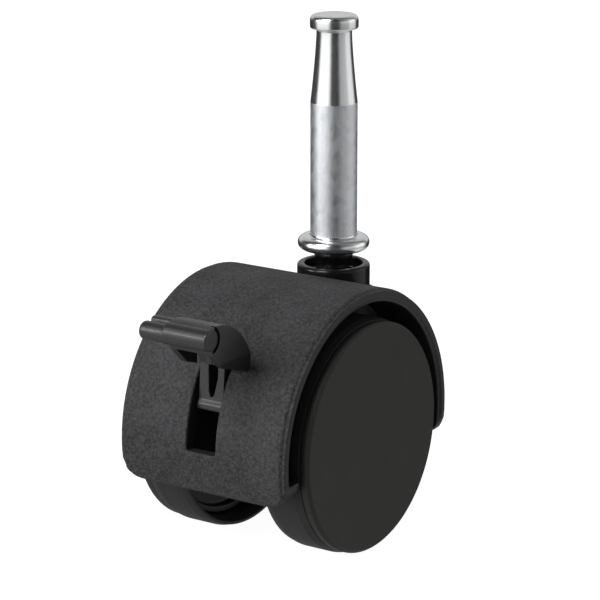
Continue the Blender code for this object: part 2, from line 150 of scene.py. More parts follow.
def rounded(corners, steps=6, closed=True):
    """An outline whose corners (a, b, radius) are rounded; a corner without a radius stays sharp."""
    points = []
    count = len(corners)
    for index, corner in enumerate(corners):
        here = Vector(corner[:2])
        radius = corner[2] if len(corner) > 2 else 0.0
        at_end = not closed and index in (0, count - 1)
        if radius <= 0.0 or at_end:
            points.append(tuple(here))
            continue
        before = Vector(corners[index - 1][:2]) - here
        after = Vector(corners[(index + 1) % count][:2]) - here
        opening = before.angle(after)
        reach = radius / max(abs(sin(opening / 2) / max(cos(opening / 2), 1e-6)), 1e-6)
        reach = min(reach, before.length * 0.48, after.length * 0.48)
        start = here + before.normalized() * reach
        end = here + after.normalized() * reach
        for i in range(steps + 1):
            t = i / steps
            points.append(tuple(start * (1 - t) ** 2 + here * 2 * t * (1 - t) + end * t ** 2))
    return points


def smooth_run(knots, steps=6):
    """Points on a smooth open curve through the knots."""
    points = []
    chain = [knots[0]] + knots + [knots[-1]]
    for a, b, c, d in zip(chain, chain[1:], chain[2:], chain[3:]):
        for i in range(steps):
            t = i / steps
            weights = (-t + 2 * t ** 2 - t ** 3, 2 - 5 * t ** 2 + 3 * t ** 3,
                       t + 4 * t ** 2 - 3 * t ** 3, t ** 3 - t ** 2)
            points.append(tuple(sum(w * p[k] for w, p in zip(weights, (a, b, c, d))) / 2 for k in (0, 1)))
    points.append(knots[-1])
    return points


def mirrored(profile):
    """The same turned profile for the left wheel."""
    return [(point[0], -point[1], *point[2:]) for point in reversed(profile)]


def mesh_object(name, work):
    """A new object from a bmesh whose lengths are millimetres."""
    bmesh.ops.recalc_face_normals(work, faces=work.faces)
    mesh = bpy.data.meshes.new(name)
    bmesh.ops.scale(work, vec=(MM, MM, MM), verts=work.verts)
    work.to_mesh(mesh)
    work.free()
    obj = bpy.data.objects.new(name, mesh)
    bpy.context.scene.collection.objects.link(obj)
    return obj


def turned(name, profile, steps=ROUND, along="Z", closed=False, centre=(0.0, 0.0, 0.0)):
    """Turn a profile of (radius, height) points about the Z or the X axis through centre."""
    work = bmesh.new()
    verts = []
    for radius, height in profile:
        verts.append(work.verts.new((radius, 0.0, height)))
    edges = [work.edges.new(pair) for pair in zip(verts, verts[1:])]
    if closed:
        edges.append(work.edges.new((verts[-1], verts[0])))
    bmesh.ops.spin(work, geom=verts + edges, cent=(0, 0, 0), axis=(0, 0, 1), angle=2 * pi,
                   steps=steps, use_merge=True)
    bmesh.ops.remove_doubles(work, verts=work.verts, dist=0.0005)
    if along == "X":
        bmesh.ops.rotate(work, verts=work.verts, matrix=Matrix.Rotation(pi / 2, 3, "Y"))
    bmesh.ops.translate(work, verts=work.verts, vec=centre)
    return mesh_object(name, work)


def about_axle(name, profile, steps=ROUND, closed=False):
    return turned(name, profile, steps, "X", closed, (0.0, AXLE.y, AXLE.z))


def plate(name, outline, low, high, view="side"):
    """A flat outline in the side view (Y, Z) or the front view (X, Z), given its thickness."""
    work = bmesh.new()
    if view == "side":
        near = [work.verts.new((low, a, b)) for a, b in outline]
        step = (high - low, 0.0, 0.0)
    else:
        near = [work.verts.new((a, low, b)) for a, b in outline]
        step = (0.0, high - low, 0.0)
    face = work.faces.new(near)
    grown = bmesh.ops.extrude_face_region(work, geom=[face])
    moved = [item for item in grown["geom"] if isinstance(item, bmesh.types.BMVert)]
    bmesh.ops.translate(work, verts=moved, vec=step)
    return mesh_object(name, work)


def apply_modifiers(obj):
    graph = bpy.context.evaluated_depsgraph_get()
    mesh = bpy.data.meshes.new_from_object(obj.evaluated_get(graph))
    obj.modifiers.clear()
    old = obj.data
    obj.data = mesh
    bpy.data.meshes.remove(old)
    return obj


def combine(obj, other, operation):
    """One Boolean step; the other object is used up."""
    step = obj.modifiers.new("Step", "BOOLEAN")
    step.operation = operation
    step.solver = "EXACT"
    step.object = other
    apply_modifiers(obj)
    bpy.data.objects.remove(other)
    work = bmesh.new()
    work.from_mesh(obj.data)
    bmesh.ops.remove_doubles(work, verts=work.verts, dist=0.002 * MM)
    work.to_mesh(obj.data)
    work.free()
    return obj


def cut(obj, other):
    return combine(obj, other, "DIFFERENCE")


def add(obj, other):
    return combine(obj, other, "UNION")


def softened(obj, width, segments=3, angle=35.0):
    """Small rounded edges wherever two faces meet at more than the angle."""
    bevel = obj.modifiers.new("Edges", "BEVEL")
    bevel.width = width * MM
    bevel.segments = segments
    bevel.limit_method = "ANGLE"
    bevel.angle_limit = radians(angle)
    bevel.use_clamp_overlap = True
    return apply_modifiers(obj)


def moulded(obj, voxel, smoothing, share):
    """Fuse the parts of a moulding into one skin with the small radii that a mould leaves."""
    remesh = obj.modifiers.new("Skin", "REMESH")
    remesh.mode = "VOXEL"
    remesh.voxel_size = voxel * MM
    smooth = obj.modifiers.new("Radii", "SMOOTH")
    smooth.factor = 0.5
    smooth.iterations = smoothing
    thin = obj.modifiers.new("Thin", "DECIMATE")
    thin.ratio = share
    return apply_modifiers(obj)


def joined(name, objects):
    """One object holding several closed meshes."""
    work = bmesh.new()
    for obj in objects:
        work.from_mesh(obj.data)
        bpy.data.objects.remove(obj)
    mesh = bpy.data.meshes.new(name)
    work.to_mesh(mesh)
    work.free()
    result = bpy.data.objects.new(name, mesh)
    bpy.context.scene.collection.objects.link(result)
    return result


def shown(obj, node, body, mat, crease=32.0):
    """Finish a piece: material, shading, the node it stands for and the body it rides on."""
    mesh = obj.data
    mesh.materials.clear()
    mesh.materials.append(mat)
    mesh.shade_smooth()
    if crease:
        mesh.set_sharp_from_angle(angle=radians(crease))
    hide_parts(node)
    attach(obj, body)
    return obj


# ---------------------------------------------------------------- material helpers
class Finish:
    """A Principled material with short calls for its nodes."""

    def __init__(self, name, **values):
        self.mat = bpy.data.materials.new(name)
        self.mat.use_nodes = True
        self.tree = self.mat.node_tree
        self.shader = self.tree.nodes["Principled BSDF"]
        for socket, value in values.items():
            self.shader.inputs[socket.replace("_", " ")].default_value = value
        self.place = self.node("ShaderNodeTexCoord").outputs["Object"]
        self.bump_out = None

    def node(self, kind, **settings):
        made = self.tree.nodes.new(kind)
        for key, value in settings.items():
            setattr(made, key, value)
        return made

    def link(self, source, target):
        self.tree.links.new(source, target)

    def stretched(self, scale, turn=(0.0, 0.0, 0.0)):
        mapping = self.node("ShaderNodeMapping")
        mapping.inputs["Scale"].default_value = scale
        mapping.inputs["Rotation"].default_value = turn
        self.link(self.place, mapping.inputs["Vector"])
        return mapping.outputs["Vector"]

    def noise(self, scale, detail=4.0, roughness=0.55, where=None):
        made = self.node("ShaderNodeTexNoise")
        made.inputs["Scale"].default_value = scale
        made.inputs["Detail"].default_value = detail
        made.inputs["Roughness"].default_value = roughness
        self.link(where or self.place, made.inputs["Vector"])
        return made.outputs["Fac"]

    def cells(self, scale):
        made = self.node("ShaderNodeTexVoronoi")
        made.inputs["Scale"].default_value = scale
        self.link(self.place, made.inputs["Vector"])
        return made

    def span(self, source, low, high, new_low=0.0, new_high=1.0):
        made = self.node("ShaderNodeMapRange")
        self.link(source, made.inputs["Value"])
        made.inputs["From Min"].default_value = low
        made.inputs["From Max"].default_value = high
        made.inputs["To Min"].default_value = new_low
        made.inputs["To Max"].default_value = new_high
        return made.outputs["Result"]

    def math(self, operation, a, b):
        made = self.node("ShaderNodeMath", operation=operation)
        for value, socket in ((a, made.inputs[0]), (b, made.inputs[1])):
            if isinstance(value, (int, float)):
                socket.default_value = value
            else:
                self.link(value, socket)
        return made.outputs["Value"]

    def blend(self, factor, first, second):
        made = self.node("ShaderNodeMix", data_type="RGBA")
        self.link(factor, made.inputs[0])
        for value, socket in ((first, made.inputs[6]), (second, made.inputs[7])):
            if isinstance(value, tuple):
                socket.default_value = (*value, 1.0)
            else:
                self.link(value, socket)
        return made.outputs[2]

    def height(self, source, distance, strength=1.0):
        """Add one layer of bump; layers stack."""
        made = self.node("ShaderNodeBump")
        made.inputs["Distance"].default_value = distance
        made.inputs["Strength"].default_value = strength
        self.link(source, made.inputs["Height"])
        if self.bump_out:
            self.link(self.bump_out, made.inputs["Normal"])
        self.bump_out = made.outputs["Normal"]

    def color(self, source):
        self.link(source, self.shader.inputs["Base Color"])

    def rough(self, source):
        self.link(source, self.shader.inputs["Roughness"])

    def done(self):
        if self.bump_out:
            self.link(self.bump_out, self.shader.inputs["Normal"])
        return self.mat


def axis_value(finish, name):
    split = finish.node("ShaderNodeSeparateXYZ")
    finish.link(finish.place, split.inputs["Vector"])
    return split.outputs[name]


# ---------------------------------------------------------------- materials
def zinc(name, shaft=None):
    """Bright zinc plate: a spangled, slightly dull shaft between two heights, polished beyond them."""
    finish = Finish(name, Metallic=1.0)
    spangle = finish.cells(900.0)
    cloud = finish.noise(1.0, 4.0, 0.6, finish.stretched((1500.0, 1500.0, 500.0)))
    crystal = finish.span(spangle.outputs["Color"], 0.0, 1.0)
    blotch = finish.math("ADD", finish.math("MULTIPLY", cloud, 0.6), finish.math("MULTIPLY", crystal, 0.4))
    tone = finish.blend(blotch, (0.56, 0.58, 0.60), (0.86, 0.88, 0.91))
    dull = finish.span(blotch, 0.2, 0.8, 0.38, 0.52)
    lines = finish.noise(1.0, 3.0, 0.6, finish.stretched((300.0, 300.0, 5200.0)))
    if shaft is None:
        finish.color(tone)
        finish.rough(dull)
        finish.height(lines, 0.000004)
    else:
        height = axis_value(finish, "Z")
        low, high = shaft
        above = finish.span(height, high - 0.0001, high + 0.0001)
        below = finish.span(height, low - 0.0001, low + 0.0001, 1.0, 0.0)
        bright = finish.math("ADD", above, below)
        finish.color(finish.blend(bright, tone, (0.88, 0.89, 0.90)))
        shine = finish.math("MULTIPLY", finish.math("SUBTRACT", 1.0, bright), dull)
        polish = finish.math("MULTIPLY", bright, finish.span(cloud, 0.3, 0.7, 0.13, 0.24))
        finish.rough(finish.math("ADD", shine, polish))
        rough_part = finish.math("SUBTRACT", 1.0, finish.math("MULTIPLY", bright, 0.8))
        finish.height(finish.math("MULTIPLY", lines, rough_part), 0.000004)
        finish.height(finish.math("MULTIPLY", cloud, rough_part), 0.00005, 0.6)
    return finish.done()


def spring_steel():
    finish = Finish("spring_steel_oiled", Metallic=1.0)
    film = finish.noise(700.0, 4.0)
    finish.color(finish.blend(film, (0.20, 0.20, 0.21), (0.40, 0.39, 0.38)))
    finish.rough(finish.span(film, 0.3, 0.7, 0.26, 0.42))
    finish.height(finish.noise(3000.0, 3.0), 0.00001, 0.4)
    return finish.done()


def grained(name, dark, light, grain, depth, rough_low, rough_high, coarse=160.0):
    """Moulded nylon: fine spark-erosion grain, cloudy tone and uneven gloss."""
    finish = Finish(name)
    fine = finish.noise(grain, 3.0, 0.6)
    finer = finish.noise(grain * 2.6, 2.0, 0.6)
    cloud = finish.noise(coarse, 4.0)
    speck = finish.math("ADD", finish.math("MULTIPLY", fine, 0.55), finish.math("MULTIPLY", cloud, 0.45))
    finish.color(finish.blend(finish.span(speck, 0.3, 0.7), dark, light))
    finish.rough(finish.span(speck, 0.3, 0.7, rough_high, rough_low))
    finish.height(fine, depth)
    finish.height(finer, depth * 0.4)
    return finish.done()


def hood_nylon():
    """The hood's outer skin is grained; its edge band, walls and inside are smoother."""
    finish = Finish("hood_black_nylon_grained", Specular_IOR_Level=0.4)
    split = finish.node("ShaderNodeSeparateXYZ")
    finish.link(finish.place, split.inputs["Vector"])
    across = finish.math("SUBTRACT", split.outputs["Y"], AXLE.y * MM)
    rise = finish.math("SUBTRACT", split.outputs["Z"], AXLE.z * MM)
    square = finish.math("ADD", finish.math("MULTIPLY", across, across), finish.math("MULTIPLY", rise, rise))
    radius = finish.math("SQRT", square, 0.0)
    skin = finish.span(radius, (HOOD_R - 0.65) * MM, (HOOD_R - 0.3) * MM)
    fine = finish.noise(1900.0, 4.0, 0.65)
    finer = finish.noise(6500.0, 2.0, 0.6)
    cloud = finish.noise(140.0, 4.0)
    speck = finish.math("ADD", finish.math("MULTIPLY", fine, 0.75), finish.math("MULTIPLY", cloud, 0.25))
    grain_tone = finish.blend(finish.span(speck, 0.38, 0.62), (0.014, 0.014, 0.0149), (0.060, 0.0594, 0.0635))
    plain_tone = finish.blend(finish.span(cloud, 0.3, 0.7), (0.020, 0.020, 0.020), (0.028, 0.028, 0.028))
    finish.color(finish.blend(skin, plain_tone, grain_tone))
    finish.rough(finish.math("ADD", finish.span(speck, 0.3, 0.7, 0.50, 0.42),
                             finish.math("MULTIPLY", skin, 0.16)))
    depth = finish.math("ADD", finish.math("MULTIPLY", skin, 0.85), 0.15)
    finish.height(finish.math("MULTIPLY", fine, depth), 0.00028)
    finish.height(finish.math("MULTIPLY", finer, depth), 0.00005)
    return finish.done()


def cover_nylon():
    """The wheel's outer disc: plain, faintly olive, with a very fine grain and faint handling marks."""
    finish = Finish("cover_black_nylon_fine", Specular_IOR_Level=0.3)
    fine = finish.noise(3800.0, 3.0, 0.6)
    cloud = finish.noise(90.0, 5.0)
    marks = finish.noise(1.0, 2.0, 0.5, finish.stretched((500.0, 90.0, 2600.0), (0.5, 0.0, 0.0)))
    speck = finish.math("ADD", finish.math("MULTIPLY", fine, 0.35), finish.math("MULTIPLY", cloud, 0.65))
    worn = finish.span(speck, 0.3, 0.7)
    finish.color(finish.blend(worn, (0.0315, 0.0312, 0.0285), (0.0405, 0.0400, 0.0368)))
    scuff = finish.span(marks, 0.62, 0.72, 0.0, -0.05)
    finish.rough(finish.math("ADD", finish.span(speck, 0.3, 0.7, 0.54, 0.46), scuff))
    finish.height(fine, 0.00004)
    return finish.done()


def tread():
    """The tread: plain matt nylon with the faint lines that rolling leaves round it."""
    finish = Finish("tread_black_matt", Specular_IOR_Level=0.35)
    fine = finish.noise(3200.0, 3.0, 0.6)
    rolled = finish.noise(1.0, 3.0, 0.6, finish.stretched((2600.0, 60.0, 60.0)))
    cloud = finish.noise(150.0, 4.0)
    speck = finish.math("ADD", finish.math("MULTIPLY", rolled, 0.5), finish.math("MULTIPLY", cloud, 0.5))
    finish.color(finish.blend(finish.span(speck, 0.3, 0.7), (0.026, 0.026, 0.0265), (0.038, 0.038, 0.0385)))
    finish.rough(finish.span(speck, 0.3, 0.7, 0.62, 0.48))
    finish.height(fine, 0.00004)
    finish.height(rolled, 0.00002, 0.6)
    return finish.done()


def lever_nylon():
    """The brake lever: semi-gloss nylon, with softly uneven gloss where the foot rubs."""
    finish = Finish("lever_black_nylon_satin", Specular_IOR_Level=0.55)
    fine = finish.noise(3000.0, 3.0, 0.55)
    cloud = finish.noise(260.0, 4.0)
    speck = finish.math("ADD", finish.math("MULTIPLY", fine, 0.3), finish.math("MULTIPLY", cloud, 0.7))
    finish.color(finish.blend(finish.span(speck, 0.3, 0.7), (0.017, 0.017, 0.0175), (0.026, 0.026, 0.0265)))
    finish.rough(finish.span(speck, 0.3, 0.7, 0.38, 0.29))
    finish.height(fine, 0.00003)
    return finish.done()


def gloss_nylon():
    """The sleeve of the stem: glossy black with a faint ripple."""
    finish = Finish("gloss_black_nylon_sleeve", Specular_IOR_Level=0.32)
    ripple = finish.noise(300.0, 2.0)
    fine = finish.noise(5000.0, 2.0)
    finish.color(finish.blend(ripple, (0.005, 0.005, 0.005), (0.009, 0.009, 0.0095)))
    finish.rough(finish.span(fine, 0.3, 0.7, 0.16, 0.24))
    finish.height(ripple, 0.00003, 0.5)
    return finish.done()


def natural_nylon():
    finish = Finish("natural_nylon_washer")
    cloud = finish.noise(400.0, 4.0)
    finish.color(finish.blend(cloud, (0.60, 0.57, 0.48), (0.74, 0.72, 0.64)))
    finish.rough(finish.span(cloud, 0.3, 0.7, 0.52, 0.40))
    finish.height(finish.noise(2500.0, 3.0), 0.00002)
    return finish.done()


def white_floor():
    """White paper, lit until the shadows on it almost disappear."""
    white = (1.0, 1.0, 1.0, 1.0)
    finish = Finish("studio_floor", Roughness=0.9, Emission_Color=white, Emission_Strength=0.96)
    cloud = finish.noise(3.0, 3.0)
    finish.color(finish.blend(cloud, (0.20, 0.20, 0.20), (0.24, 0.24, 0.24)))
    return finish.done()


MATS = {
    "stem": zinc("bright_zinc_stem", (0.4 * MM, NECK_FOOT * MM)),
    "zinc": zinc("bright_zinc_plain"),
    "spring": spring_steel(),
    "gloss": gloss_nylon(),
    "hood": hood_nylon(),
    "cover": cover_nylon(),
    "tread": tread(),
    # The core's black is set darker than the other nylon parts. It is partly the core's own black and partly
    # painted shade for the hollow round the hub and the wheels' inner sides.
    "core": grained("core_black_nylon_painted_shade", (0.006, 0.006, 0.006), (0.010, 0.010, 0.010),
                    3000.0, 0.00004, 0.42, 0.55),
    "lever": lever_nylon(),
    "washer": natural_nylon(),
}


# ---------------------------------------------------------------- stem and its bearing
def make_stem():
    head = [(0.0, TIP), (HEAD_R, TIP, 1.25), (HEAD_R, 35.85, 0.45), (NECK_R, 35.5, 0.35), (NECK_R, NECK_TOP)]
    profile = rounded(head, 10, closed=False)
    samples = 28
    for i in range(1, samples + 1):
        t = i / samples
        flare = (SHAFT_R - NECK_R) * t ** 1.35
        profile.append((NECK_R + flare, NECK_TOP - (NECK_TOP - NECK_FOOT) * t))
    edge = FLANGE_T / 2
    root = [(SHAFT_R, NECK_FOOT), (SHAFT_R, 0.0, 0.45), (FLANGE_R - edge, 0.0)]
    profile += rounded(root, 8, closed=False)[1:]
    profile += arc((FLANGE_R - edge, -edge), edge, 90, -90, 24)[1:]
    foot = [(FLANGE_R - edge, -FLANGE_T), (3.6, -FLANGE_T, 0.3), (JOURNAL_R, -5.2, 0.5)]
    foot += [(JOURNAL_R, RING_GROOVE_Z + 0.85, 0.1), (2.2, RING_GROOVE_Z + 0.85, 0.1)]
    foot += [(2.2, RING_GROOVE_Z - 0.85, 0.1), (JOURNAL_R, RING_GROOVE_Z - 0.85, 0.1)]
    foot += [(JOURNAL_R, STEM_LOW.z + 0.8, 0.2), (2.0, STEM_LOW.z, 0.3), (0.0, STEM_LOW.z)]
    profile += rounded(foot, 5, closed=False)[1:]
    stem = turned("stem_fine", profile, ROUND)
    return shown(stem, "stem", "stem_body", MATS["stem"])


def wire(name, route, radius, steps=16):
    """A round wire along a smooth run of points, with rounded ends."""
    curve = bpy.data.curves.new(name, "CURVE")
    curve.dimensions = "3D"
    curve.bevel_depth = radius * MM
    curve.bevel_resolution = steps // 4
    curve.use_fill_caps = True
    spline = curve.splines.new("POLY")
    spline.points.add(len(route) - 1)
    for point, place in zip(spline.points, route):
        point.co = (*(value * MM for value in place), 1.0)
    helper = bpy.data.objects.new(name + "_curve", curve)
    bpy.context.scene.collection.objects.link(helper)
    bpy.context.view_layer.update()
    graph = bpy.context.evaluated_depsgraph_get()
    work = bmesh.new()
    work.from_mesh(bpy.data.meshes.new_from_object(helper.evaluated_get(graph)))
    bpy.data.objects.remove(helper)
    bmesh.ops.remove_doubles(work, verts=work.verts, dist=0.000001)
    bmesh.ops.recalc_face_normals(work, faces=work.faces)
    mesh = bpy.data.meshes.new(name)
    work.to_mesh(mesh)
    work.free()
    obj = bpy.data.objects.new(name, mesh)
    bpy.context.scene.collection.objects.link(obj)
    return obj


def make_snap_ring():
    route = [(x, y, RING_GROOVE_Z) for x, y in arc((0.0, 0.0), 3.05, 110, 430, 72)]
    ring = wire("stem_snap_ring_fine", route, 0.5)
    return shown(ring, "stem_snap_ring", "stem_body", MATS["spring"])


def make_socket():
    top = SOCKET_HIGH.z
    bottom = SOCKET_LOW.z
    ball_low, ball_high = box_mm("thrust_ball")
    seat = ball_low.z - 0.3
    groove = 1.0
    corners = [(0.0, seat), (1.6, seat, 0.2), (2.7, (ball_low.z + ball_high.z) / 2, 0.4)]
    corners += [(3.1, ball_high.z - 1.2, 0.3), (3.1, RING_GROOVE_Z - groove, 0.1)]
    corners += [(3.95, RING_GROOVE_Z - groove, 0.1), (3.95, RING_GROOVE_Z + groove, 0.1)]
    corners += [(3.1, RING_GROOVE_Z + groove, 0.1), (3.1, top - 2.4, 0.2), (4.8, top - 1.9, 0.4)]
    corners += [(5.0, top, 0.25), (SOCKET_R, top, 0.75), (SOCKET_R, bottom, 0.5), (0.0, bottom)]
    socket = turned("stem_socket_fine", rounded(corners, 8, closed=False), ROUND)
    return shown(socket, "stem_socket", "housing", MATS["gloss"])


def make_ball():
    low, high = box_mm("thrust_ball")
    middle = (low.z + high.z) / 2
    profile = arc((0.0, middle), high.x, 90, -90, 48)
    ball = turned("thrust_ball_fine", [(max(r, 0.0), h) for r, h in profile], SMALL_ROUND)
    return shown(ball, "thrust_ball", "housing", MATS["zinc"])


# ---------------------------------------------------------------- hood
def make_hood():
    inner_r = HOOD_R - HOOD_WALL
    edge = HOOD_HALF
    half = [(HOOD_R, edge - 0.95, 0.2), (HOOD_R - 0.4, edge - 0.6, 0.25), (HOOD_R - 0.3, edge, 0.35)]
    half += [(HOOD_R - 1.5, edge, 0.3), (HOOD_R - 1.7, edge - 0.35, 0.15), (inner_r, edge - 0.4, 0.3)]
    corners = half + mirrored(half)
    hood = about_axle("hood_fine", rounded(list(reversed(corners)), 5), ROUND, closed=True)

    low, high = LIP_ANGLES
    band = sweep(LIP_INNER_R, low, high, 8) + list(reversed(sweep(inner_r + 0.8, low, high, 8)))
    add(hood, plate("lip", band, 0.01 - edge, edge - 0.01))

    below = HOOD_BOTTOM - 20.0
    corner_x = edge - HOOD_CORNER_R
    side = arc((corner_x, HOOD_BOTTOM + HOOD_CORNER_R), HOOD_CORNER_R, -90, 0, 16)
    right = [(20.0, below), (20.0, HOOD_BOTTOM + HOOD_CORNER_R)] + list(reversed(side))
    outline = right + [(-x, z) for x, z in reversed(right)]
    cut(hood, plate("bottom_cut", outline, AXLE.y - 30.0, AXLE.y + 30.0, "front"))

    wall = sweep(inner_r + 1.1, -9.0, 189.0, 90) + sweep(14.6, 212.0, 328.0, 40)
    for low, high in ((-PLATE_OUT, -PLATE_IN), (PLATE_IN, PLATE_OUT)):
        add(hood, plate("wall", wall, low, high))
    for sign in (-1, 1):
        low, high = sorted((sign * (PLATE_IN + 0.6), sign * AXLE_BOSS_X))
        boss = [(0.0, high), (AXLE_BOSS_R, high), (AXLE_BOSS_R, low), (0.0, low)]
        add(hood, about_axle("boss", boss, SMALL_ROUND))
    post = [(0.0, BOSS_TOP), (BOSS_R, BOSS_TOP, 0.6), (BOSS_R, BOSS_BOTTOM, 0.3), (0.0, BOSS_BOTTOM)]
    add(hood, turned("post", rounded(post, 5, closed=False), 96))

    bore_r = SOCKET_R + 0.3
    bore = [(0.0, 5.0), (bore_r, 5.0), (bore_r, SOCKET_LOW.z - 0.3), (0.0, SOCKET_LOW.z - 0.3)]
    cut(hood, turned("bore", bore, 96))
    cut(hood, about_axle("hole", [(0.0, 12.0), (AXLE_BORE_R, 12.0), (AXLE_BORE_R, -12.0), (0.0, -12.0)], 48))
    low, high = SLOT_ANGLES
    slot = sweep(inner_r - 2.0, low, high, 24) + list(reversed(sweep(HOOD_R + 3.0, low, high, 24)))
    cut(hood, plate("slot", slot, -SLOT_HALF, SLOT_HALF))
    reach = LOCK_BAR_R + 0.3
    top = (AXLE.y, LOCK_BAR_Z)
    end = (AXLE.y, LOCK_BAR_Z - LOCK_TRAVEL)
    guide = arc(top, reach, 0, 180, 20) + arc(end, reach, 180, 360, 20)
    cut(hood, plate("guide", guide, -8.0, 8.0))
    cut(hood, plate("pin_hole", arc(polar(*SPRING_POST), SPRING_POST_R + 0.05, 0, 345, 23), -8.0, 8.0))
    parting = sweep(HOOD_R - 0.22, -30.0, low, 20) + list(reversed(sweep(HOOD_R + 1.0, -30.0, low, 20)))
    cut(hood, plate("parting_line", parting, -0.13, 0.13))
    moulded(hood, 0.17, 3, 0.3)
    return shown(hood, "hood", "housing", MATS["hood"], crease=None)


# ---------------------------------------------------------------- wheels
def make_wheel(side):
    name = "right" if side > 0 else "left"
    body = "wheel_" + name

    def ring(node, corners, slot, mat, rider, closed=True, steps=ROUND, corner_steps=6):
        shape = corners if side > 0 else mirrored(corners)
        piece = about_axle(node + "_" + name + "_fine", rounded(shape, corner_steps, closed), steps, closed)
        return shown(piece, node + "_" + name, rider, mat)

    low, high = TYRE_LOW.x, TYRE_HIGH.x
    inner = CORE_R + 0.3
    tyre = [(inner, high, 0.15), (TYRE_R - 0.3, high, 0.15), (TYRE_R, high - 1.4, 0.9)]
    tyre += [(TYRE_R, low + 1.4, 0.9), (TYRE_R - 0.35, low, 0.3), (TYRE_R - 0.85, low, 0.2)]
    tyre += [(inner, low + 1.6, 0.3)]
    ring("tyre", tyre, "tread_black", MATS["tread"], body, corner_steps=8)

    web_in, web_out = WEB_X
    core = [(AXLE_BORE_R, HUB_END, 0.2), (HUB_R, HUB_END, 0.2), (HUB_R, web_out, 0.05)]
    core += [(RIM_IN_R, web_out, 0.4), (RIM_IN_R, RIM_X[1], 0.2), (CORE_R, RIM_X[1], 0.2)]
    core += [(CORE_R, RIM_X[0], 0.2), (RIM_IN_R, RIM_X[0], 0.25), (RIM_IN_R, web_in, 0.6)]
    core += [(HUB_R, web_in, 0.6), (HUB_R, CORE_LOW.x, 0.3), (AXLE_BORE_R, CORE_LOW.x, 0.2)]
    shape = core if side > 0 else mirrored(core)
    wheel = about_axle("wheel_core_" + name + "_fine", rounded(shape, 5), ROUND, closed=True)
    tooth_in, tooth_out = TOOTH_X
    teeth = [(TOOTH_ROOT_R, tooth_out), (TOOTH_RING_R, tooth_out)]
    teeth += [(TOOTH_RING_R, tooth_in), (TOOTH_ROOT_R, tooth_in)]
    teeth = teeth if side > 0 else mirrored(teeth)
    crown = about_axle("crown", teeth, 96, closed=True)
    x_low, x_high = sorted((side * tooth_in, side * tooth_out))
    pitch = 360.0 / TOOTH_COUNT
    blocks = []
    for index in range(TOOTH_COUNT):
        middle = -90.0 + pitch * (index + 0.5)
        block = sweep(TOOTH_TIP_R, middle - 6.0, middle + 6.0, 4)
        block += list(reversed(sweep(TOOTH_ROOT_R + 0.4, middle - 6.8, middle + 6.8, 4)))
        blocks.append(plate("tooth", block, x_low, x_high))
    add(crown, joined("teeth", blocks))
    add(wheel, crown)
    softened(wheel, 0.12, 2, 50.0)
    shown(wheel, "wheel_core_" + name, body, MATS["core"])

    face, back = COVER_HIGH.x, high + 0.06
    cover = [(0.0, face), (COVER_R - 0.5, face, 0.5), (COVER_R, face - 0.5, 0.5), (COVER_R, back, 0.1)]
    rib_in, rib_out = COVER_RIB_R
    cover += [(rib_out, back, 0.1), (rib_out, COVER_LOW.x, 0.15), (rib_in, COVER_LOW.x, 0.15)]
    cover += [(rib_in, back + 0.1, 0.1), (0.0, back + 0.1)]
    ring("wheel_cover", cover, "cover_black_nylon", MATS["cover"], body, closed=False, corner_steps=12)

    clip_low, clip_high = box_mm("axle_clip_right")
    clip = [(2.35, clip_high.x, 0.06), (4.4, clip_high.x, 0.12), (4.4, clip_low.x, 0.12)]
    clip += [(2.35, clip_low.x, 0.06)]
    ring("axle_clip", clip, "spring_steel", MATS["spring"], "housing", steps=SMALL_ROUND)
    washer_low, washer_high = box_mm("thrust_washer_right")
    washer = [(2.7, washer_high.x, 0.08), (5.0, washer_high.x, 0.12), (5.0, washer_low.x, 0.12)]
    washer += [(2.7, washer_low.x, 0.08)]
    ring("thrust_washer", washer, "natural_nylon", MATS["washer"], "housing", steps=SMALL_ROUND)


def make_axle():
    step = box_mm("axle_clip_right")[0].x - 0.1
    half = [(0.0, AXLE_END), (1.9, AXLE_END, 0.25), (AXLE_GROOVE_R, step, 0.05), (AXLE_R, step, 0.15)]
    axle = about_axle("axle_fine", rounded(half + mirrored(half), 4, closed=False), SMALL_ROUND)
    return shown(axle, "axle", "housing", MATS["zinc"])


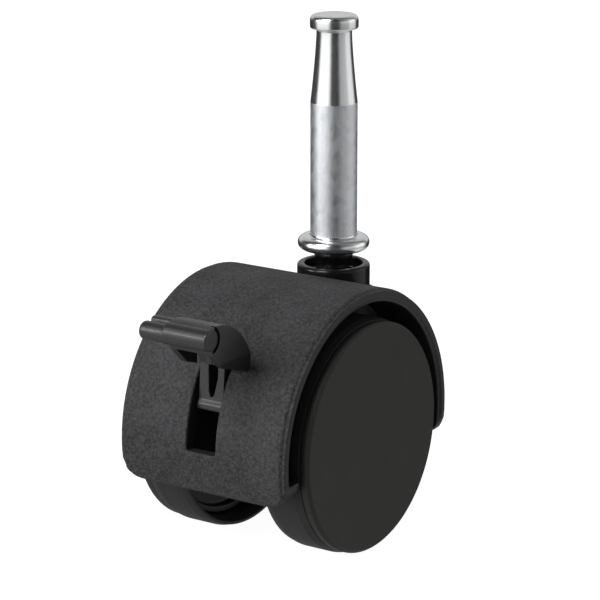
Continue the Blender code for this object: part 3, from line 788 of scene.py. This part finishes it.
# ---------------------------------------------------------------- brake
def make_lever():
    left, right = LEVER_LOW.x, LEVER_HIGH.x
    thin = [(0.0, right - 0.3), (NOSE_R, right - 0.3, 0.25), (NOSE_R, left, 0.9), (0.0, left)]
    thin = turned("nose", rounded(thin, 8, False), 96, "X", False, (0.0, *NOSE))
    thick = [(0.0, right), (THICK_R, right, 0.25), (THICK_R, BODY_X, 0.12), (0.0, BODY_X)]
    thick = turned("nose", rounded(thick, 6, False), 96, "X", False, (0.0, *THICK_NOSE))

    wing = [(-46.4, -5.5), (-45.6, -5.95, 0.3), (-45.2, -6.4, 0.25), (-44.9, -5.1, 0.3), (-44.3, -4.9, 0.3)]
    wing += [(-43.4, -4.95, 0.3), (-43.35, -6.0, 0.3), (-45.4, -7.6, 0.5), (-46.4, -7.9)]
    wing = plate("wing", rounded(wing, 5), left + 0.3, 0.5)

    fin = smooth_run([(-46.4, -4.88), (-44.9, -4.57), (-43.2, -4.68), (-40.6, -5.6), (-38.2, -7.4),
                      (-36.4, -9.7), (-35.2, -12.0), (-34.5, -14.2)], 8)
    belly = [(-34.5, -14.2), (-35.0, -14.6, 0.4), (-43.1, -12.0, 1.6), (-46.0, -9.2, 1.2), (-46.6, -8.1)]
    fin += rounded(belly, 6, closed=False)[1:]
    fin = plate("fin", fin, BODY_X, right - 0.02)
    hollow = smooth_run([(-46.4, -9.6), (-45.0, -8.3), (-44.2, -6.9), (-43.2, -6.15), (-41.1, -7.0),
                         (-39.0, -8.6), (-37.4, -10.6), (-36.4, -12.9), (-36.2, -16.0)], 5)
    hollow.append((-46.4, -16.0))
    cut(fin, plate("hollow", hollow, BODY_X + PEDAL_WALL, right - PEDAL_WALL))
    rear = [(-40.3, -7.7), (-39.1, -8.7), (-37.5, -10.7), (-36.5, -12.95), (-36.3, -16.0), (-40.3, -16.0)]
    cut(fin, plate("wall_end", rear, BODY_X - 0.5, BODY_X + PEDAL_WALL + 0.2))
    outer = arc(THICK_NOSE, THICK_R + 0.65, -75, 60, 14)
    crescent = outer + list(reversed(arc(THICK_NOSE, THICK_R + 0.05, -75, 60, 14)))
    cut(fin, plate("crescent", crescent, right - 0.9, right + 1.0))
    slope = [(right + 1.0, -8.0), (right + 1.0, -16.0), (right - 1.6, -16.0)]
    cut(fin, plate("slope", slope, -48.0, -30.0, "front"))

    arm = [polar(4.0, 18.0), (-36.5, -22.05, 0.45), (-36.45, -21.1, 0.4), (-36.0, -20.4, 0.4), (-35.5, -14.3)]
    arm += [(-36.6, -12.0, 0.8), (-38.4, -8.0), (-37.2, -9.6), polar(25.4, 39.5), polar(22.0, 40.5)]
    arm.append(polar(4.0, 60.0))
    arm = plate("arm", rounded(arm, 5), -ARM_HALF, ARM_HALF)
    pocket = [(-1.15, -8.0), (1.2, -8.0), (1.15, -16.5, 0.5), (0.55, -19.4, 0.4), (0.0, -20.1, 0.3)]
    pocket += [(-0.45, -19.0, 0.4), (-0.7, -15.0, 0.5)]
    cut(arm, plate("pocket", rounded(pocket, 4), -39.5, -33.2, "front"))

    tail = [polar(4.0, -60.0)] + sweep(13.4, -64.0, -116.0, 24) + [polar(4.0, -120.0)]
    tail = plate("tail", tail, 0.03 - ARM_HALF, ARM_HALF - 0.03)
    reach = LOCK_BAR_R + 0.3
    rest = polar(LOCK_REST, -90.0)
    locked = polar(LOCK_REST + LOCK_TRAVEL, -90.0 + LEVER_TRAVEL)
    lean = atan2(locked[1] - rest[1], locked[0] - rest[0]) * 180.0 / pi
    ramp = arc(rest, reach, lean + 90, lean + 270, 16) + arc(locked, reach, lean - 90, lean + 90, 16)

    hub_half = ARM_HALF + 0.03
    hub = [(0.0, hub_half), (RING_R, hub_half), (RING_R, -hub_half), (0.0, -hub_half)]
    lever = about_axle("brake_lever_fine", hub, 96)
    for part in (arm, tail):
        add(lever, part)
    bore = [(0.0, 5.0), (AXLE_BORE_R, 5.0), (AXLE_BORE_R, -5.0), (0.0, -5.0)]
    cut(lever, about_axle("lever_bore", bore, 48))
    cut(lever, plate("cam_slot", ramp, -4.0, 4.0))
    for angle in DETENT_ANGLES:
        cut(lever, plate("detent", arc(polar(RING_R + 0.25, angle), 0.75, 0, 345, 23), -4.0, 4.0))
    lever = joined("brake_lever_fine", [lever, thin, thick, wing, fin])
    moulded(lever, 0.09, 4, 0.25)
    return shown(lever, "brake_lever", "lever", MATS["lever"], crease=None)


def make_lock_bar():
    end = BAR_HIGH.x
    half = [(0.0, end), (LOCK_BAR_R, end, 0.35)]
    bar = turned("lock_bar_fine", rounded(half + mirrored(half), 6, closed=False), SMALL_ROUND, "X", False,
                 (0.0, AXLE.y, LOCK_BAR_Z))
    return shown(bar, "lock_bar", "bar", MATS["zinc"])


def make_detent_spring():
    """The hairpin: hooked over its post, with its free end in the lever's notch."""
    radius = 0.35
    post = polar(*SPRING_POST)
    wrap_r = SPRING_POST_R + radius + 0.3
    tip = polar(RING_R + 0.35, DETENT_ANGLES[0])
    route = [(tip[0] + 1.4, tip[1] + 1.1), (tip[0] + 0.55, tip[1] + 0.25, 0.4), (*tip, 0.5)]
    route += [(tip[0] - 0.55, tip[1] + 0.25, 0.4), (tip[0] - 1.1, tip[1] + 1.4, 0.8)]
    route += [(post[0] - wrap_r, post[1] - 1.2, 0.8)]
    route = rounded(route + list(reversed(arc(post, wrap_r, -20, 200, 30))), 6, closed=False)
    route.append((post[0] + wrap_r + 0.6, post[1] - 2.2))
    spring = wire("detent_spring_fine", [(0.0, y, z) for y, z in route], radius)
    return shown(spring, "detent_spring", "housing", MATS["spring"])


def make_spring_pin():
    half = [(0.0, PLATE_OUT), (SPRING_POST_R, PLATE_OUT, 0.15)]
    pin = turned("spring_pin_fine", rounded(half + mirrored(half), 4, closed=False), 48, "X", False,
                 (0.0, *polar(*SPRING_POST)))
    return shown(pin, "spring_pin", "housing", MATS["zinc"])


# ---------------------------------------------------------------- studio
AZIMUTH = 34.23                  # degrees from the front towards the right wheel
ELEVATION = 15.24
DISTANCE = 480.8                 # mm from AIM, the point in the middle of the picture
AIM = (-4.754, -3.235, -11.55)
LENS = 167.5


def make_camera():
    turn, rise = radians(AZIMUTH), radians(ELEVATION)
    back = Vector((sin(turn) * cos(rise), -cos(turn) * cos(rise), sin(rise)))
    camera = bpy.data.objects.new("camera", bpy.data.cameras.new("camera"))
    camera.data.lens = LENS
    camera.data.clip_start = 0.01
    camera.data.clip_end = 20.0
    camera.location = (Vector(AIM) + back * DISTANCE) * MM
    camera.rotation_mode = "QUATERNION"
    camera.rotation_quaternion = (-back).to_track_quat("-Z", "Y")
    bpy.context.scene.collection.objects.link(camera)
    bpy.context.scene.camera = camera


def make_world():
    """A white studio: soft boxes on both sides and a dark front, as round a product table."""
    world = bpy.data.worlds.new("studio")
    bpy.context.scene.world = world
    world.use_nodes = True
    tree = world.node_tree
    tree.nodes.clear()

    def node(kind, **settings):
        made = tree.nodes.new(kind)
        for key, value in settings.items():
            setattr(made, key, value)
        return made

    def ramp(source, low, high, stops):
        spread = node("ShaderNodeMapRange")
        spread.inputs["From Min"].default_value = low
        spread.inputs["From Max"].default_value = high
        tree.links.new(source, spread.inputs["Value"])
        made = node("ShaderNodeValToRGB")
        made.color_ramp.interpolation = "EASE"
        elements = made.color_ramp.elements
        while len(elements) < len(stops):
            elements.new(0.5)
        for element, (place, value) in zip(elements, stops):
            element.position = (place - low) / (high - low)
            element.color = (value, value, value, 1.0)
        tree.links.new(spread.outputs["Result"], made.inputs["Fac"])
        return made.outputs["Color"]

    place = node("ShaderNodeTexCoord")
    turn = node("ShaderNodeMapping", vector_type="POINT")
    turn.inputs["Rotation"].default_value = (0.0, 0.0, radians(90.0 - AZIMUTH))
    tree.links.new(place.outputs["Generated"], turn.inputs["Vector"])
    split = node("ShaderNodeSeparateXYZ")
    tree.links.new(turn.outputs["Vector"], split.inputs["Vector"])
    around = node("ShaderNodeMath", operation="ARCTAN2")
    tree.links.new(split.outputs["Y"], around.inputs[0])
    tree.links.new(split.outputs["X"], around.inputs[1])

    def together(operation, first, second):
        made = node("ShaderNodeMix", data_type="RGBA", blend_type=operation)
        made.inputs[0].default_value = 1.0
        tree.links.new(first, made.inputs[6])
        tree.links.new(second, made.inputs[7])
        return made.outputs[2]

    # The sides by direction: degrees to the right of the camera's own side, and brightness.
    bands = [(-180, 0.06), (-104, 0.06), (-82, 1.4), (-34, 1.4), (-12, 0.08), (18, 0.06)]
    bands += [(38, 0.46), (66, 0.58), (84, 1.0), (110, 1.0), (128, 0.06), (180, 0.06)]
    turns = around.outputs["Value"]
    sides = ramp(turns, -pi, pi, [(radians(a), v / 4) for a, v in bands])
    lift = ramp(split.outputs["Z"], -1.0, 1.0,
                [(-1.0, 0.1), (-0.8, 0.25), (-0.4, 0.35), (0.0, 0.88), (0.25, 1.1), (0.55, 0.4), (1.0, 0.22)])
    # Soft light from behind and above the caster.
    rear = ramp(turns, -pi, pi, [(radians(a), v) for a, v in [(-150, 1), (-120, 0), (120, 0), (150, 1)]])
    above = ramp(split.outputs["Z"], -1.0, 1.0, [(-0.02, 0.0), (0.12, 0.14), (0.6, 0.11), (0.9, 0.03)])
    shade = together("ADD", together("MULTIPLY", sides, lift), together("MULTIPLY", rear, above))
    # Polished pieces also mirror the pale table below them.
    table = ramp(split.outputs["Z"], -1.0, 1.0, [(-1.0, 0.08), (-0.7, 0.1), (-0.5, 0.1), (-0.34, 0.0)])
    seen = node("ShaderNodeLightPath")
    mirror = node("ShaderNodeMix", data_type="RGBA", blend_type="ADD")
    tree.links.new(seen.outputs["Is Glossy Ray"], mirror.inputs[0])
    tree.links.new(shade, mirror.inputs[6])
    tree.links.new(table, mirror.inputs[7])
    shade = mirror.outputs[2]
    light = node("ShaderNodeBackground")
    light.inputs["Strength"].default_value = 4.0
    tree.links.new(shade, light.inputs["Color"])
    paper = node("ShaderNodeBackground")
    paper.inputs["Color"].default_value = (1.0, 1.0, 1.0, 1.0)
    pick = node("ShaderNodeMixShader")
    tree.links.new(seen.outputs["Is Camera Ray"], pick.inputs["Fac"])
    tree.links.new(light.outputs["Background"], pick.inputs[1])
    tree.links.new(paper.outputs["Background"], pick.inputs[2])
    out = node("ShaderNodeOutputWorld")
    tree.links.new(pick.outputs["Shader"], out.inputs["Surface"])


def make_light(name, turn, rise, distance, size, power):
    """A soft box aimed at the caster; turn is degrees to the right of the camera."""
    lamp = bpy.data.lights.new(name, "AREA")
    lamp.shape = "DISK"
    lamp.size = size
    lamp.energy = power
    obj = bpy.data.objects.new(name, lamp)
    around, up = radians(AZIMUTH + turn), radians(rise)
    away = Vector((sin(around) * cos(up), -cos(around) * cos(up), sin(up)))
    obj.location = Vector(AIM) * MM + away * distance
    obj.rotation_mode = "QUATERNION"
    obj.rotation_quaternion = (-away).to_track_quat("-Z", "Y")
    obj.visible_camera = False
    bpy.context.scene.collection.objects.link(obj)
    return obj


def make_studio():
    make_camera()
    make_world()
    make_light("key", -48.0, 48.0, 0.9, 0.45, 4.5)
    make_light("side", -78.0, 18.0, 0.9, 0.3, 2.0)
    work = bmesh.new()
    bmesh.ops.create_grid(work, x_segments=8, y_segments=8, size=3000.0)
    bmesh.ops.translate(work, verts=work.verts, vec=(0.0, 0.0, FLOOR_Z - 0.02))
    floor = mesh_object("studio_floor", work)
    floor.data.materials.append(white_floor())
    floor.visible_glossy = False
    floor.visible_diffuse = False
    bpy.context.scene.view_settings.view_transform = "Standard"


make_studio()
make_stem()
make_snap_ring()
make_socket()
make_ball()
make_hood()
for wheel_side in (1, -1):
    make_wheel(wheel_side)
make_axle()
make_lever()
make_lock_bar()
make_detent_spring()
make_spring_pin()
